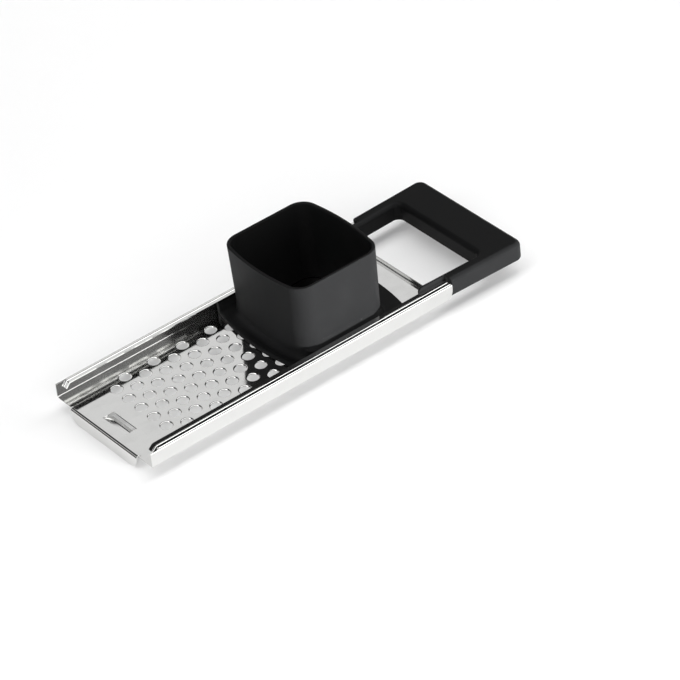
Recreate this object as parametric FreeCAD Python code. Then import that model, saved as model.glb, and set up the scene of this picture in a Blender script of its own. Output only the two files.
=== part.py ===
"""Dumpling maker that lies across a pot: a perforated sheet-steel tray with folded rails,
a hopper that slides in the rails, and a U-shaped handle screwed to the rear of the tray.

Millimetres. X runs along the rails, from the front of the tray (-X) to the handle (+X).
Y runs across the tray and Z points up. The origin is on the underside of the tray's floor,
where it rests on a pot, at the middle of the floor's length and on the centreline.
"""
import FreeCAD
import Part
import math
import os

# ---------------------------------------------------------------- tray sheet
sheet_thickness = 0.8
floor_length = 268.0          # front edge to the outer face of the rear lip
tray_width = 116.0            # over the outer walls
rail_height = 14.1            # underside of the floor to the ledge's inner edge, its highest
ledge_width = 8.2             # outer wall to the ledge's inner edge
ledge_slope = 6.5             # degrees that the ledge rises towards its inner edge
ledge_bend_radius = 2.0       # outside of the bend between wall and ledge
floor_bend_radius = 1.6       # outside of the bend between wall and floor
rail_overhang = 8.0           # rails run on past the rear lip
rail_end_radius = 9.0         # lower rear corner of the walls
ledge_setback = 3.0           # ledge starts behind the front edge
ledge_corner_radius = 4.0     # inner rear corner of the ledge

# ---------------------------------------------------------------- perforations
hole_diameter = 8.8
hole_pitch = 15.0
hole_rows = 10
holes_per_row = 6
first_row_offset = 35.7       # front edge to the first row

# ---------------------------------------------------------------- front flange and tab
flange_width = 79.5
flange_depth = 11.5           # below the top of the floor
flange_corner_radius = 9.0
flange_bend_radius = 2.5
flange_reach = 1.6            # the flange hangs in front of the floor's front edge
relief_width = 1.2            # notches beside the bends
tab_width = 27.0
tab_crease_offset = 8.5       # front edge to the crease
tab_end_offset = 18.4         # front edge to the cut end
tab_drop = 3.6
tab_cut_width = 0.5

# ---------------------------------------------------------------- ledge stops
stop_length = 5.0
stop_angle = 45.0
stop_side_gap = 1.0           # slit between a stop and the wall

# ---------------------------------------------------------------- rear lip
lip_height = 3.5              # above the top of the floor
lip_bend_radius = 1.5
lip_side_gap = 0.6            # between the lip and the handle's feet

# ---------------------------------------------------------------- hopper
hopper_length = 84.7          # over the bulged front and rear walls, at the rim
hopper_width = 91.2           # at the rim
hopper_height = 66.0          # above the floor's top
hopper_corner_radius = 14.0
hopper_bulge = 5.0            # how far the front and rear walls bow out
hopper_wall = 2.4
hopper_front_lean = 1.5       # how far each wall comes in from rim to base
hopper_rear_lean = 0.0
hopper_side_lean = 2.1
hopper_rest_x = 52.8          # centre of the rim
base_round = 5.0              # hollow curve round the hopper's base, up from the sled
curve_steps = 6               # flats along each hollow curve

# ---------------------------------------------------------------- sled under the hopper
sled_front_reach = 8.55       # past the rim's front
sled_rear_reach = 18.15       # past the rim's rear
sled_end_bulge = 8.5
sled_thickness = 3.2
sled_corner_radius = 3.0
slide_clearance = 0.3         # under the sled
runner_side_clearance = 0.6   # between the sled and the walls
runner_top_clearance = 0.9    # under the ledge
runner_edge_gap = 0.4         # runner's inner face to the ledge's edge
flare_radius = 6.5            # hollow curve from the side walls to the runners
shoulder_setback = 3.0        # ends of the shoulders, inside the hopper's ends
shoulder_bite = 0.05          # top of the shoulder's curve, inside the side wall
core_wall = 2.2               # plastic left around the hollow in each shoulder

# ---------------------------------------------------------------- handle
handle_reach = 68.3           # past the rear of the rails
grip_depth = 33.0             # of the crossbar, along X
arm_width = 11.5
arm_side_setback = 0.5        # outer face of the arm to the wall's outer face
arm_height = 15.2
arm_base = 2.4                # underside of the arms above the floor's underside
arm_splay = 2.1               # each arm stands out by this much at the grip
arm_top_round = 4.0
arm_bottom_round = 2.0
grip_outer_radius = 7.0
grip_inner_radius = 5.0
foot_length = 25.0            # inside the rails
foot_nose_radius = 5.0
foot_clearance = 0.2          # foot to walls and ledge
steel_gap = 0.2               # arm to the steel's rear end

# ---------------------------------------------------------------- handle screws
screw_diameter = 3.0
screw_length = 9.0            # from the floor's underside to the tip
screw_head_diameter = 6.0     # countersunk, 90 degrees, flush with the floor's underside
screw_hole_clearance = 0.5    # on the diameter of the hole in the sheet
screw_edge_distance = 4.6     # screw to the rear end of the floor
recess_length = 3.2
recess_width = 0.8
recess_depth = 0.9

# ---------------------------------------------------------------- worked out
front_x = -floor_length / 2
flange_x = front_x - flange_reach
rear_x = floor_length / 2
rail_rear_x = rear_x + rail_overhang
floor_rear_x = rail_rear_x - rail_end_radius
half_width = tray_width / 2
wall_inner_y = half_width - sheet_thickness
ledge_edge_y = half_width - ledge_width
floor_top = sheet_thickness
ledge_turn = math.radians(ledge_slope)
ledge_under = rail_height - sheet_thickness / math.cos(ledge_turn)
wall_top = rail_height - ledge_width * math.tan(ledge_turn)
channel_top = ledge_under - (ledge_width - sheet_thickness) * math.tan(ledge_turn)
row_spacing = hole_pitch * math.sin(math.radians(60))
row_shift = hole_pitch / 4
flange_half = flange_width / 2
flange_bottom = floor_top - flange_depth
arm_outer_y = half_width - arm_side_setback
arm_inner_y = arm_outer_y - arm_width
lip_half = arm_inner_y - lip_side_gap
hopper_rim_z = floor_top + hopper_height
hopper_front_x = hopper_rest_x - hopper_length / 2
hopper_rear_x = hopper_rest_x + hopper_length / 2
sled_bottom = floor_top + slide_clearance
sled_top = sled_bottom + sled_thickness
sled_half = wall_inner_y - runner_side_clearance
runner_top = channel_top - runner_top_clearance
runner_inner_y = ledge_edge_y + runner_edge_gap
foot_front_x = rail_rear_x - foot_length
grip_rear_x = rail_rear_x + handle_reach
grip_front_x = grip_rear_x - grip_depth
arm_top = arm_base + arm_height
screw_x = floor_rear_x - screw_edge_distance
screw_y = (arm_inner_y + wall_inner_y) / 2
screw_radius = screw_diameter / 2
head_radius = screw_head_diameter / 2
screw_hole_radius = screw_radius + screw_hole_clearance / 2
dimple_radius = head_radius + sheet_thickness * math.tan(math.radians(22.5))
dimple_top = head_radius - screw_hole_radius + sheet_thickness * math.sqrt(2)


def vec(x, y, z):
    return FreeCAD.Vector(x, y, z)


def box(x0, x1, y0, y1, z0, z1):
    return Part.makeBox(x1 - x0, y1 - y0, z1 - z0, vec(x0, y0, z0))


def mirrored(shape):
    """The same shape on the other side of the centreline."""
    return shape.mirror(vec(0, 0, 0), vec(0, 1, 0))


def both_sides(shape):
    return [shape, mirrored(shape)]


def fused(shapes):
    return shapes[0].multiFuse(shapes[1:]).removeSplitter()


def outline(corners, place):
    """Closed face from corners (u, v, radius), each corner rounded by its radius.

    place turns a pair (u, v) into a point in space.
    """
    starts = []
    middles = []
    ends = []
    count = len(corners)
    for index, (u, v, radius) in enumerate(corners):
        before = corners[index - 1]
        after = corners[(index + 1) % count]
        back = FreeCAD.Vector(before[0] - u, before[1] - v, 0).normalize()
        ahead = FreeCAD.Vector(after[0] - u, after[1] - v, 0).normalize()
        here = FreeCAD.Vector(u, v, 0)
        if radius == 0:
            starts.append(here)
            middles.append(None)
            ends.append(here)
            continue
        half_angle = back.getAngle(ahead) / 2
        reach = radius / math.tan(half_angle)
        inward = (back + ahead).normalize()
        centre = here + inward * (radius / math.sin(half_angle))
        starts.append(here + back * reach)
        middles.append(centre - inward * radius)
        ends.append(here + ahead * reach)
    edges = []
    for index in range(count):
        if middles[index] is not None:
            bend = [starts[index], middles[index], ends[index]]
            edges.append(Part.Arc(*[place(p.x, p.y) for p in bend]).toShape())
        following = starts[(index + 1) % count]
        if (following - ends[index]).Length > 1e-6:
            run = [ends[index], following]
            edges.append(Part.LineSegment(*[place(p.x, p.y) for p in run]).toShape())
    return Part.Face(Part.Wire(edges))


def plan_prism(corners, z0, z1):
    face = outline(corners, lambda x, y: vec(x, y, z0))
    return face.extrude(vec(0, 0, z1 - z0))


def side_prism(corners, y0, y1):
    """Corners are (x, z, radius)."""
    face = outline(corners, lambda x, z: vec(x, y0, z))
    return face.extrude(vec(0, y1 - y0, 0))


def cross_prism(corners, x0, x1):
    """Corners are (y, z, radius)."""
    face = outline(corners, lambda y, z: vec(x0, y, z))
    return face.extrude(vec(x1 - x0, 0, 0))


def bowed_wire(front, rear, half, bulge, corner, z):
    """Plan outline with straight sides, bowed ends and rounded corners.

    front and rear are where the bowed ends stand furthest out. bulge is how far they
    bow over the full width.
    """
    bow = (half * half + bulge * bulge) / (2 * bulge)
    across = half - corner
    along = math.sqrt((bow - corner) ** 2 - across ** 2)
    points = {}
    for name, centre_x, side in (("front", front + bow, -1), ("rear", rear - bow, 1)):
        corner_x = centre_x + side * along
        turn = math.atan2(across, along)
        on_bow = (centre_x + side * bow * math.cos(turn), bow * math.sin(turn))
        middle_turn = (turn + math.pi / 2) / 2
        on_corner = (corner_x + side * corner * math.cos(middle_turn),
                     across + corner * math.sin(middle_turn))
        points[name] = (on_bow, on_corner, (corner_x, half), centre_x + side * bow)
    edges = []
    for name in ("front", "rear"):
        on_bow, on_corner, on_side, apex = points[name]
        for sign in (-1, 1):
            edges.append(Part.Arc(vec(on_bow[0], sign * on_bow[1], z),
                                  vec(on_corner[0], sign * on_corner[1], z),
                                  vec(on_side[0], sign * on_side[1], z)).toShape())
        edges.append(Part.Arc(vec(on_bow[0], -on_bow[1], z), vec(apex, 0, z),
                              vec(on_bow[0], on_bow[1], z)).toShape())
    for sign in (-1, 1):
        start = points["front"][2]
        end = points["rear"][2]
        edges.append(Part.LineSegment(vec(start[0], sign * start[1], z),
                                      vec(end[0], sign * end[1], z)).toShape())
    return Part.Wire(Part.__sortEdges__(edges))


# ---------------------------------------------------------------- tray
def rail_section():
    """Floor, wall and ledge of the near half, as one folded strip."""
    inside_floor = floor_bend_radius - sheet_thickness
    inside_ledge = ledge_bend_radius - sheet_thickness
    return [(0, 0, 0),
            (half_width, 0, floor_bend_radius),
            (half_width, wall_top, ledge_bend_radius),
            (ledge_edge_y, rail_height, 0),
            (ledge_edge_y, ledge_under, 0),
            (wall_inner_y, channel_top, inside_ledge),
            (wall_inner_y, floor_top, inside_floor),
            (0, floor_top, 0)]


def folded_strip():
    half = cross_prism(rail_section(), front_x, rail_rear_x)
    return fused(both_sides(half))


def wall_end_cutter():
    """What lies outside the rounded lower rear corner of the walls."""
    margin = rail_end_radius
    corner = box(floor_rear_x, rail_rear_x + margin, -half_width - margin,
                 half_width + margin, -margin, rail_end_radius)
    rounding = Part.makeCylinder(rail_end_radius, tray_width + 2 * margin,
                                 vec(floor_rear_x, -half_width - margin, rail_end_radius),
                                 vec(0, 1, 0))
    return corner.cut(rounding)


def ledge_cutters():
    """Front setback, slits and rounded rear corners of the two ledges."""
    cutters = []
    setback = box(front_x, front_x + ledge_setback, ledge_edge_y, wall_inner_y,
                  floor_top + floor_bend_radius, rail_height)
    cutters += both_sides(setback)
    stop = box(front_x + ledge_setback, front_x + ledge_setback + stop_length,
               ledge_edge_y, wall_inner_y, channel_top - sheet_thickness, rail_height)
    cutters += both_sides(stop)
    corner = box(rail_rear_x - ledge_corner_radius, rail_rear_x, ledge_edge_y,
                 ledge_edge_y + ledge_corner_radius, channel_top, rail_height)
    rounding = Part.makeCylinder(ledge_corner_radius, rail_height - channel_top,
                                 vec(rail_rear_x - ledge_corner_radius,
                                     ledge_edge_y + ledge_corner_radius, channel_top))
    cutters += both_sides(corner.cut(rounding))
    return cutters


def ledge_stops():
    """Flaps at the front of the ledges, bent down into the sled's way."""
    crease_x = front_x + ledge_setback + stop_length
    turn = math.radians(stop_angle)
    ahead = -stop_length * math.cos(turn)
    down = -stop_length * math.sin(turn)
    thick_x = sheet_thickness * math.sin(turn)
    thick_z = -sheet_thickness * math.cos(turn)
    under = rail_height - sheet_thickness
    corners = [(crease_x, rail_height, 0),
               (crease_x + ahead, rail_height + down, 0),
               (crease_x + ahead + thick_x, rail_height + down + thick_z, 0),
               (crease_x + thick_x, under, 0),
               (crease_x + 2 * thick_x, under, 0),
               (crease_x + 2 * thick_x, rail_height, 0)]
    stop = side_prism(corners, ledge_edge_y, wall_inner_y - stop_side_gap)
    stop.rotate(vec(0, ledge_edge_y, rail_height), vec(1, 0, 0), -ledge_slope)
    return both_sides(stop)


def bent_edge(edge_x, side, bend_radius, tip_z, half):
    """Strip across the tray that leaves the floor in a bend and ends at tip_z.

    side is -1 at the front and 1 at the rear.
    """
    inner_x = edge_x - side * sheet_thickness
    root_x = edge_x - side * (bend_radius + relief_width)
    inside = bend_radius - sheet_thickness
    outer_floor = floor_top if tip_z < 0 else 0
    inner_floor = 0 if tip_z < 0 else floor_top
    corners = [(root_x, outer_floor, 0),
               (edge_x, outer_floor, bend_radius),
               (edge_x, tip_z, 0),
               (inner_x, tip_z, 0),
               (inner_x, inner_floor, inside),
               (root_x, inner_floor, 0)]
    return side_prism(corners, -half, half)


def bend_room(edge_x, side, bend_radius, half):
    """Floor taken out for a bent edge and the relief notch at each of its ends."""
    span = sorted((edge_x, edge_x - side * (bend_radius + relief_width)))
    reach = half + relief_width
    return box(span[0], span[1], -reach, reach, 0, floor_top)


def front_flange():
    strip = bent_edge(flange_x, -1, flange_bend_radius, flange_bottom, flange_half)
    room = 2 * flange_bend_radius
    shape = [(-flange_half, floor_top, 0), (flange_half, floor_top, 0),
             (flange_half, flange_bottom, flange_corner_radius),
             (-flange_half, flange_bottom, flange_corner_radius)]
    return strip.common(cross_prism(shape, flange_x - room, flange_x + 2 * room))


def tab_window():
    half = tab_width / 2 + tab_cut_width
    return box(front_x + tab_crease_offset, front_x + tab_end_offset, -half, half,
               0, floor_top)


def pressed_tab():
    """Tongue behind the front edge, cut on three sides and pressed down."""
    crease_x = front_x + tab_crease_offset
    end_x = front_x + tab_end_offset - tab_cut_width
    corners = [(crease_x, 0, 0), (crease_x, floor_top, 0),
               (end_x, floor_top - tab_drop, 0), (end_x, -tab_drop, 0)]
    return side_prism(corners, -tab_width / 2, tab_width / 2)


def hole_centres():
    centres = []
    for row in range(hole_rows):
        x = front_x + first_row_offset + row * row_spacing
        shift = row_shift if row % 2 else -row_shift
        for place in range(holes_per_row):
            y = (place - (holes_per_row - 1) / 2) * hole_pitch + shift
            centres.append((x, y))
    return centres


def floor_holes():
    cutters = []
    for x, y in hole_centres():
        cutters.append(Part.makeCylinder(hole_diameter / 2, sheet_thickness, vec(x, y, 0)))
    dimple_room = Part.makeCylinder(dimple_radius, sheet_thickness, vec(screw_x, screw_y, 0))
    return cutters + both_sides(dimple_room)


def turned(corners):
    """Solid of revolution about the far screw's axis, from corners (radius, z, 0)."""
    face = outline(corners, lambda r, z: vec(screw_x + r, screw_y, z))
    return face.revolve(vec(screw_x, screw_y, 0), vec(0, 0, 1), 360)


def screw_dimples():
    """Floor pressed up into a cone round each screw, to take its countersunk head."""
    cone = turned([(head_radius, 0, 0),
                   (dimple_radius, 0, 0),
                   (dimple_radius, floor_top, 0),
                   (screw_hole_radius, dimple_top, 0),
                   (screw_hole_radius, head_radius - screw_hole_radius, 0)])
    return both_sides(cone)


def tray_sheet():
    strip = folded_strip()
    cutters = [wall_end_cutter(), tab_window()]
    cutters.append(bend_room(flange_x, -1, flange_bend_radius, flange_half))
    rear_room = bend_room(rear_x, 1, lip_bend_radius, lip_half)
    cutters.append(rear_room.fuse(box(rear_x, rail_rear_x, -lip_half, lip_half,
                                      0, floor_top)))
    cutters += ledge_cutters()
    cutters += floor_holes()
    sheet = strip.cut(cutters)
    lip = bent_edge(rear_x, 1, lip_bend_radius, floor_top + lip_height, lip_half)
    return fused([sheet, front_flange(), lip, pressed_tab()] + ledge_stops()
                 + screw_dimples())


# ---------------------------------------------------------------- hopper
def hopper_fall(z):
    """How far down a height is, from 0 at the rim to 1 at the base."""
    return (hopper_rim_z - z) / (hopper_rim_z - sled_bottom)


def hopper_half(z):
    return hopper_width / 2 - hopper_side_lean * hopper_fall(z)


def hopper_section(inset, z):
    """Outline of the hopper at a height, set in by the lean of its walls and by inset."""
    return bowed_wire(hopper_front_x + hopper_front_lean * hopper_fall(z) + inset,
                      hopper_rear_x - hopper_rear_lean * hopper_fall(z) - inset,
                      hopper_half(z) - inset, hopper_bulge,
                      hopper_corner_radius - inset, z)


def sled_outline(inset, z):
    return bowed_wire(hopper_front_x - sled_front_reach + inset,
                      hopper_rear_x + sled_rear_reach - inset, sled_half - inset,
                      sled_end_bulge, sled_corner_radius, z)


def sled_plate(z0, z1):
    return Part.Face(sled_outline(0, z0)).extrude(vec(0, 0, z1 - z0))


def sled_runners():
    """Raised edges of the sled that fill the channels under the ledges."""
    reach = hopper_length
    room = box(hopper_front_x - reach, hopper_rear_x + reach, runner_inner_y, half_width,
               sled_bottom, runner_top)
    body = sled_plate(sled_bottom, runner_top)
    return [body.common(piece) for piece in both_sides(room)]


def hollow_curve(radius):
    """Pairs (height, spread) of a quarter round that starts level, from its foot up."""
    turns = [math.pi / 2 * step / curve_steps for step in range(curve_steps + 1)]
    return [(radius * (1 - math.cos(turn)), radius * (1 - math.sin(turn))) for turn in turns]


def hopper_outside():
    """Hopper without its well, led into the top of the sled by a hollow curve."""
    wires = [hopper_section(-base_round, sled_bottom)]
    for height, spread in hollow_curve(base_round):
        wires.append(hopper_section(-spread, sled_top + height))
    wires.append(hopper_section(0, hopper_rim_z))
    return Part.makeLoft(wires, True, True)


def hopper_well():
    wires = [hopper_section(hopper_wall, z) for z in (sled_bottom, hopper_rim_z)]
    return Part.makeLoft(wires, True, True)


def shoulder_section(spread, z):
    return bowed_wire(hopper_front_x + hopper_front_lean + shoulder_setback,
                      hopper_rear_x - hopper_rear_lean - shoulder_setback,
                      hopper_half(runner_top + flare_radius) - shoulder_bite + spread,
                      hopper_bulge, hopper_corner_radius, z)


def shoulders():
    """Bodies that widen the hopper with a hollow curve from its side walls to the runners."""
    wires = [shoulder_section(spread, runner_top + height)
             for height, spread in hollow_curve(flare_radius)]
    foot = Part.Face(wires[0]).extrude(vec(0, 0, sled_bottom - runner_top))
    return [Part.makeLoft(wires, True, True), foot]


def bridge_and_core():
    """Far side's link from the hopper to the runner, and the hollow in it from below."""
    wall_y = hopper_width / 2 - hopper_side_lean
    x0 = hopper_front_x + hopper_front_lean + hopper_corner_radius
    x1 = hopper_rear_x - hopper_rear_lean - hopper_corner_radius
    bridge = box(x0, x1, wall_y, runner_inner_y + core_wall, sled_bottom, runner_top)
    core = box(x0 + core_wall, x1 - core_wall, wall_y + core_wall,
               sled_half - core_wall, sled_bottom, runner_top - core_wall)
    return bridge, core


def hopper_body():
    plate = sled_plate(sled_bottom, sled_top)
    bridge, core = bridge_and_core()
    solid = fused([plate, hopper_outside()] + shoulders() + sled_runners()
                  + both_sides(bridge))
    return solid.cut([hopper_well()] + both_sides(core)).removeSplitter()


# ---------------------------------------------------------------- handle
def handle_plan():
    """U-shaped plan: two feet at the front, arms that splay, and the crossbar."""
    slope = arm_splay / handle_reach
    ends = (foot_front_x, grip_front_x, grip_rear_x)
    foot_out, grip_in, grip_out = [slope * (x - rail_rear_x) for x in ends]
    far = [(grip_front_x, arm_inner_y + grip_in, grip_inner_radius),
           (foot_front_x, arm_inner_y + foot_out, foot_nose_radius),
           (foot_front_x, arm_outer_y + foot_out, foot_nose_radius),
           (grip_rear_x, arm_outer_y + grip_out, grip_outer_radius)]
    return far + [(x, -y, r) for x, y, r in reversed(far)]


def level_edges(shape, z):
    """Edges that lie at one height."""
    found = []
    for edge in shape.Edges:
        limits = edge.BoundBox
        if abs(limits.ZMin - z) < 1e-4 and abs(limits.ZMax - z) < 1e-4:
            found.append(edge)
    return found


def steel_zone():
    """Space that one rail takes out of the bar, with clearance."""
    side = [(foot_front_x - foot_length, -sheet_thickness, 0),
            (rail_rear_x + steel_gap, -sheet_thickness, rail_end_radius),
            (rail_rear_x + steel_gap, arm_top + sheet_thickness, 0),
            (foot_front_x - foot_length, arm_top + sheet_thickness, 0)]
    return side_prism(side, ledge_edge_y - foot_clearance, half_width + arm_splay)


def foot_block():
    """Part of the foot inside the channel, down on the floor and under the ledge."""
    corners = [(foot_front_x, floor_top, 0), (floor_rear_x, floor_top, 0),
               (rail_rear_x + 2 * steel_gap, arm_bottom_round + rail_end_radius / 2, 0),
               (rail_rear_x + 2 * steel_gap, channel_top - foot_clearance, 0),
               (foot_front_x, channel_top - foot_clearance, 0)]
    inner_y = ledge_edge_y - 2 * foot_clearance
    outer_y = wall_inner_y - foot_clearance
    channel = [(inner_y, floor_top, 0), (outer_y, floor_top, floor_bend_radius),
               (outer_y, channel_top - foot_clearance, ledge_bend_radius),
               (inner_y, channel_top - foot_clearance, 0)]
    block = side_prism(corners, inner_y, outer_y)
    return block.common(cross_prism(channel, foot_front_x, rail_rear_x + foot_length))


def foot_rest():
    """Part of the foot beside the channel, from the arm down to the floor."""
    top = arm_base + arm_bottom_round
    room = box(foot_front_x, floor_rear_x, 0, ledge_edge_y - foot_clearance,
               floor_top, top)
    return plan_prism(handle_plan(), floor_top, top).common(room)


def handle_body():
    bar = plan_prism(handle_plan(), arm_base, arm_top)
    bar = bar.makeFillet(arm_top_round, level_edges(bar, arm_top))
    bar = bar.makeFillet(arm_bottom_round, level_edges(bar, arm_base))
    bar = bar.cut(both_sides(steel_zone()))
    bar = fused([bar] + both_sides(foot_block()) + both_sides(foot_rest()))
    bore = Part.makeCylinder(screw_radius, screw_length, vec(screw_x, screw_y, 0))
    dimple_room = Part.makeCylinder(dimple_radius + foot_clearance,
                                    dimple_top + foot_clearance,
                                    vec(screw_x, screw_y, 0))
    return bar.cut(both_sides(bore) + both_sides(dimple_room))


# ---------------------------------------------------------------- screws
def handle_screw():
    body = turned([(0, 0, 0), (head_radius, 0, 0),
                   (screw_radius, head_radius - screw_radius, 0),
                   (screw_radius, screw_length, 0), (0, screw_length, 0)])
    long_half = recess_length / 2
    short_half = recess_width / 2
    slots = [box(screw_x - long_half, screw_x + long_half, screw_y - short_half,
                 screw_y + short_half, 0, recess_depth),
             box(screw_x - short_half, screw_x + short_half, screw_y - long_half,
                 screw_y + long_half, 0, recess_depth)]
    return body.cut(slots)


def main():
    os.makedirs("parts", exist_ok=True)
    far_screw = handle_screw()
    pieces = {"tray_sheet": tray_sheet(),
              "hopper_sled": hopper_body(),
              "handle": handle_body(),
              "handle_screw_far": far_screw,
              "handle_screw_near": mirrored(far_screw)}
    for name, shape in pieces.items():
        shape.exportStep("parts/" + name + ".step")
        limits = shape.BoundBox
        print(name, "solids", len(shape.Solids), "valid", shape.isValid(),
              "volume", round(shape.Volume, 1),
              "x", round(limits.XMin, 2), round(limits.XMax, 2),
              "y", round(limits.YMin, 2), round(limits.YMax, 2),
              "z", round(limits.ZMin, 2), round(limits.ZMax, 2))


main()
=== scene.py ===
"""Dumpling maker: perforated steel tray, sliding hopper, U-shaped handle and two screws.

Metres. X runs along the rails towards the handle, Y across them and Z up.
"""
import math

import bmesh
import bpy
from mathutils import Matrix, Vector
from mathutils.geometry import delaunay_2d_cdt, tessellate_polygon


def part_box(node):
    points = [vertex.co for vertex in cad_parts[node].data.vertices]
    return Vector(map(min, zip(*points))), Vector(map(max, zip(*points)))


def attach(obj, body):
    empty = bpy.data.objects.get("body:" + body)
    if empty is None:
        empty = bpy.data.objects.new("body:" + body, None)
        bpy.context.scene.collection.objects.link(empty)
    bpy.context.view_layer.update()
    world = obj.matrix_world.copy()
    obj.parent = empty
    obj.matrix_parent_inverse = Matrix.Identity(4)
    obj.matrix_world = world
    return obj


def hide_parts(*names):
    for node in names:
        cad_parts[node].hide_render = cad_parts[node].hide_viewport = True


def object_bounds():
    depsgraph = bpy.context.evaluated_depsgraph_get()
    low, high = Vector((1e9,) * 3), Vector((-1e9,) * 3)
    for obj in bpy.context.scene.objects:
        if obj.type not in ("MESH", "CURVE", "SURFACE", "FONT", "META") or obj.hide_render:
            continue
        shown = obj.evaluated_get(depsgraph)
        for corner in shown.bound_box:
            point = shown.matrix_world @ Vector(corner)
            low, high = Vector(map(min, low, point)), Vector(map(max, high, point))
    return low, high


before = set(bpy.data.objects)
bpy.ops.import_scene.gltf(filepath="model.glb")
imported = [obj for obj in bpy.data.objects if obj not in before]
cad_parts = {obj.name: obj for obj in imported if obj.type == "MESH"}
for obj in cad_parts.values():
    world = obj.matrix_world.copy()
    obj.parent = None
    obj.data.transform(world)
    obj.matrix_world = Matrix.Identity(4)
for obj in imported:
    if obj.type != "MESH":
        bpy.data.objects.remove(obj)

bl_info = {
    "name": "Dumpling Maker",
    "version": (1, 0, 0),
    "blender": (4, 5, 0),
    "location": "View3D > Sidebar > Dumpling Maker",
    "description": "Builds a dumpling maker from its tray, hopper, handle and screws",
    "category": "Add Mesh",
}

CAD_BOX = [list(corner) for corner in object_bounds()]
TRAY_LOW, TRAY_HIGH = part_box("tray_sheet")
SCREW_LOW, SCREW_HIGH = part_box("handle_screw_far")
SCREW_X = (SCREW_LOW.x + SCREW_HIGH.x) / 2
SCREW_Y = (SCREW_LOW.y + SCREW_HIGH.y) / 2
HOPPER_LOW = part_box("hopper_sled")[0]

SQUARE = math.pi / 2    # a bend or a corner through a right angle
RIM_STEPS = 24          # corners round each hole
ROLL_STEPS = 4          # strips over the roll of a hole's rim
SCREW_STEPS = 32        # corners round a screw and its dimple
BEND_STEPS = 8          # strips over each bend of the sheet
BEAD_STEPS = 4          # strips over each half of the ledge's bead
REAR_STEPS = 8          # strips over the lower rear corner of a wall
LEDGE_STEPS = 6         # strips over the rear corner of a ledge
FLANGE_STEPS = 10       # points round a corner of the flange
ROW_PITCH = math.sin(math.pi / 3)   # between rows, for a hole pitch of 1
BEND_MARGIN = 0.00025   # flat strip before and after each bend
SLED_BOW = 0.0085       # the sled's front edge lies within this of its foremost point
SLED_STEP = 0.0032      # and this high above its underside
SLED_SLACK = 0.0002     # give or take this
FLAT = 0.4              # degrees; faces that turn less than this are one flat face
SHARP = 40.0            # degrees; edges that turn more than this are broken
SHEET_CRISP = 20.0      # degrees; edges that turn more than this are shaded crisp
SCREW_CRISP = 40.0
PLASTIC_CRISP = 50.0
WELD = 2e-6             # points nearer than this are one point
GRID = 1e6              # cells per metre in which points of the blank are looked up
WHITE = (1.0, 1.0, 1.0, 1.0)


# -------- sizes and colours
def number(label, text, default, **more):
    return bpy.props.FloatProperty(name=label, description=text, default=default, **more)


def triple(label, text, default, **more):
    return bpy.props.FloatVectorProperty(name=label, description=text, default=default,
                                         size=3, **more)


def size(label, text, metres):
    return number(label, text, metres, min=0.0, precision=5, unit="LENGTH",
                  subtype="DISTANCE")


def angle(label, text, degrees):
    return number(label, text, math.radians(degrees), unit="ROTATION", subtype="ANGLE")


def tint(label, text, *colour):
    return triple(label, text, colour, min=0.0, max=1.0, subtype="COLOR")


def share(label, text, default, most=1.0):
    return number(label, text, default, min=0.0, max=most, subtype="FACTOR")


def power(label, text, watts):
    return number(label, text, watts, min=0.0, unit="POWER")


def count(label, text, default):
    return bpy.props.IntProperty(name=label, description=text, default=default, min=1)


def group(kind):
    return bpy.props.PointerProperty(type=kind)


class TraySizes(bpy.types.PropertyGroup):
    """Sizes of the folded steel sheet."""

    thickness: size("Sheet Thickness", "Gauge of the steel", 0.0008)
    width: size("Width", "Over the outer walls", TRAY_HIGH.y - TRAY_LOW.y)
    rail_height: size("Rail Height", "From the floor's underside", TRAY_HIGH.z)
    rail_overhang: size("Rail Overhang", "Rails past the rear lip", 0.008)
    rail_end_radius: size("Rail End Radius", "Walls' lower corner", 0.009)
    floor_bend: size("Floor Bend", "Radius outside, wall to floor", 0.0016)
    ledge_bend: size("Ledge Bend", "Radius outside, wall to ledge", 0.002)
    ledge_width: size("Ledge Width", "Wall to the inner edge", 0.0082)
    ledge_slope: angle("Ledge Slope", "Rise towards the inner edge", 6.5)
    ledge_corner: size("Ledge Corner", "Ledge's rear corner", 0.004)
    bead_offset: size("Bead Offset", "Inner edge to the bead's middle", 0.0041)
    bead_width: size("Bead Width", "Bead along the ledge", 0.0018)
    bead_height: size("Bead Height", "Rise of the bead", 0.00035)
    setback: size("Ledge Setback", "Front edge to the stop", 0.003)
    stop_length: size("Stop Length", "Flap at each ledge's front", 0.005)
    stop_angle: angle("Stop Angle", "Turn of the flap", 45.0)
    flange_width: size("Flange Width", "Bent-down front edge", 0.0795)
    flange_corner: size("Flange Corner", "Flange's lower corners", 0.009)
    flange_reach: size("Flange Reach", "Floor's edge to the flange's face", 0.0016)
    flange_bend: size("Flange Bend", "Radius outside", 0.0025)
    lip_bend: size("Lip Bend", "Radius outside", 0.0015)
    relief: size("Relief", "Notches beside the bends", 0.0012)
    tab_width: size("Tab Width", "Tongue pressed down", 0.027)
    tab_crease: size("Tab Crease", "Front edge to the crease", 0.0085)
    tab_end: size("Tab End", "Front edge to the window's end", 0.0184)
    tab_drop: size("Tab Drop", "Drop of the tongue's end", 0.0036)
    tab_cut: size("Tab Cut", "Cut round the tongue", 0.0005)
    lip_height: size("Lip Height", "Above the floor", 0.0035)
    lip_half: size("Lip Half Width", "Centreline to the lip's end", 0.0454)
    edge_round: size("Edge Round", "Broken edges of the sheet", 0.00014)


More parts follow.
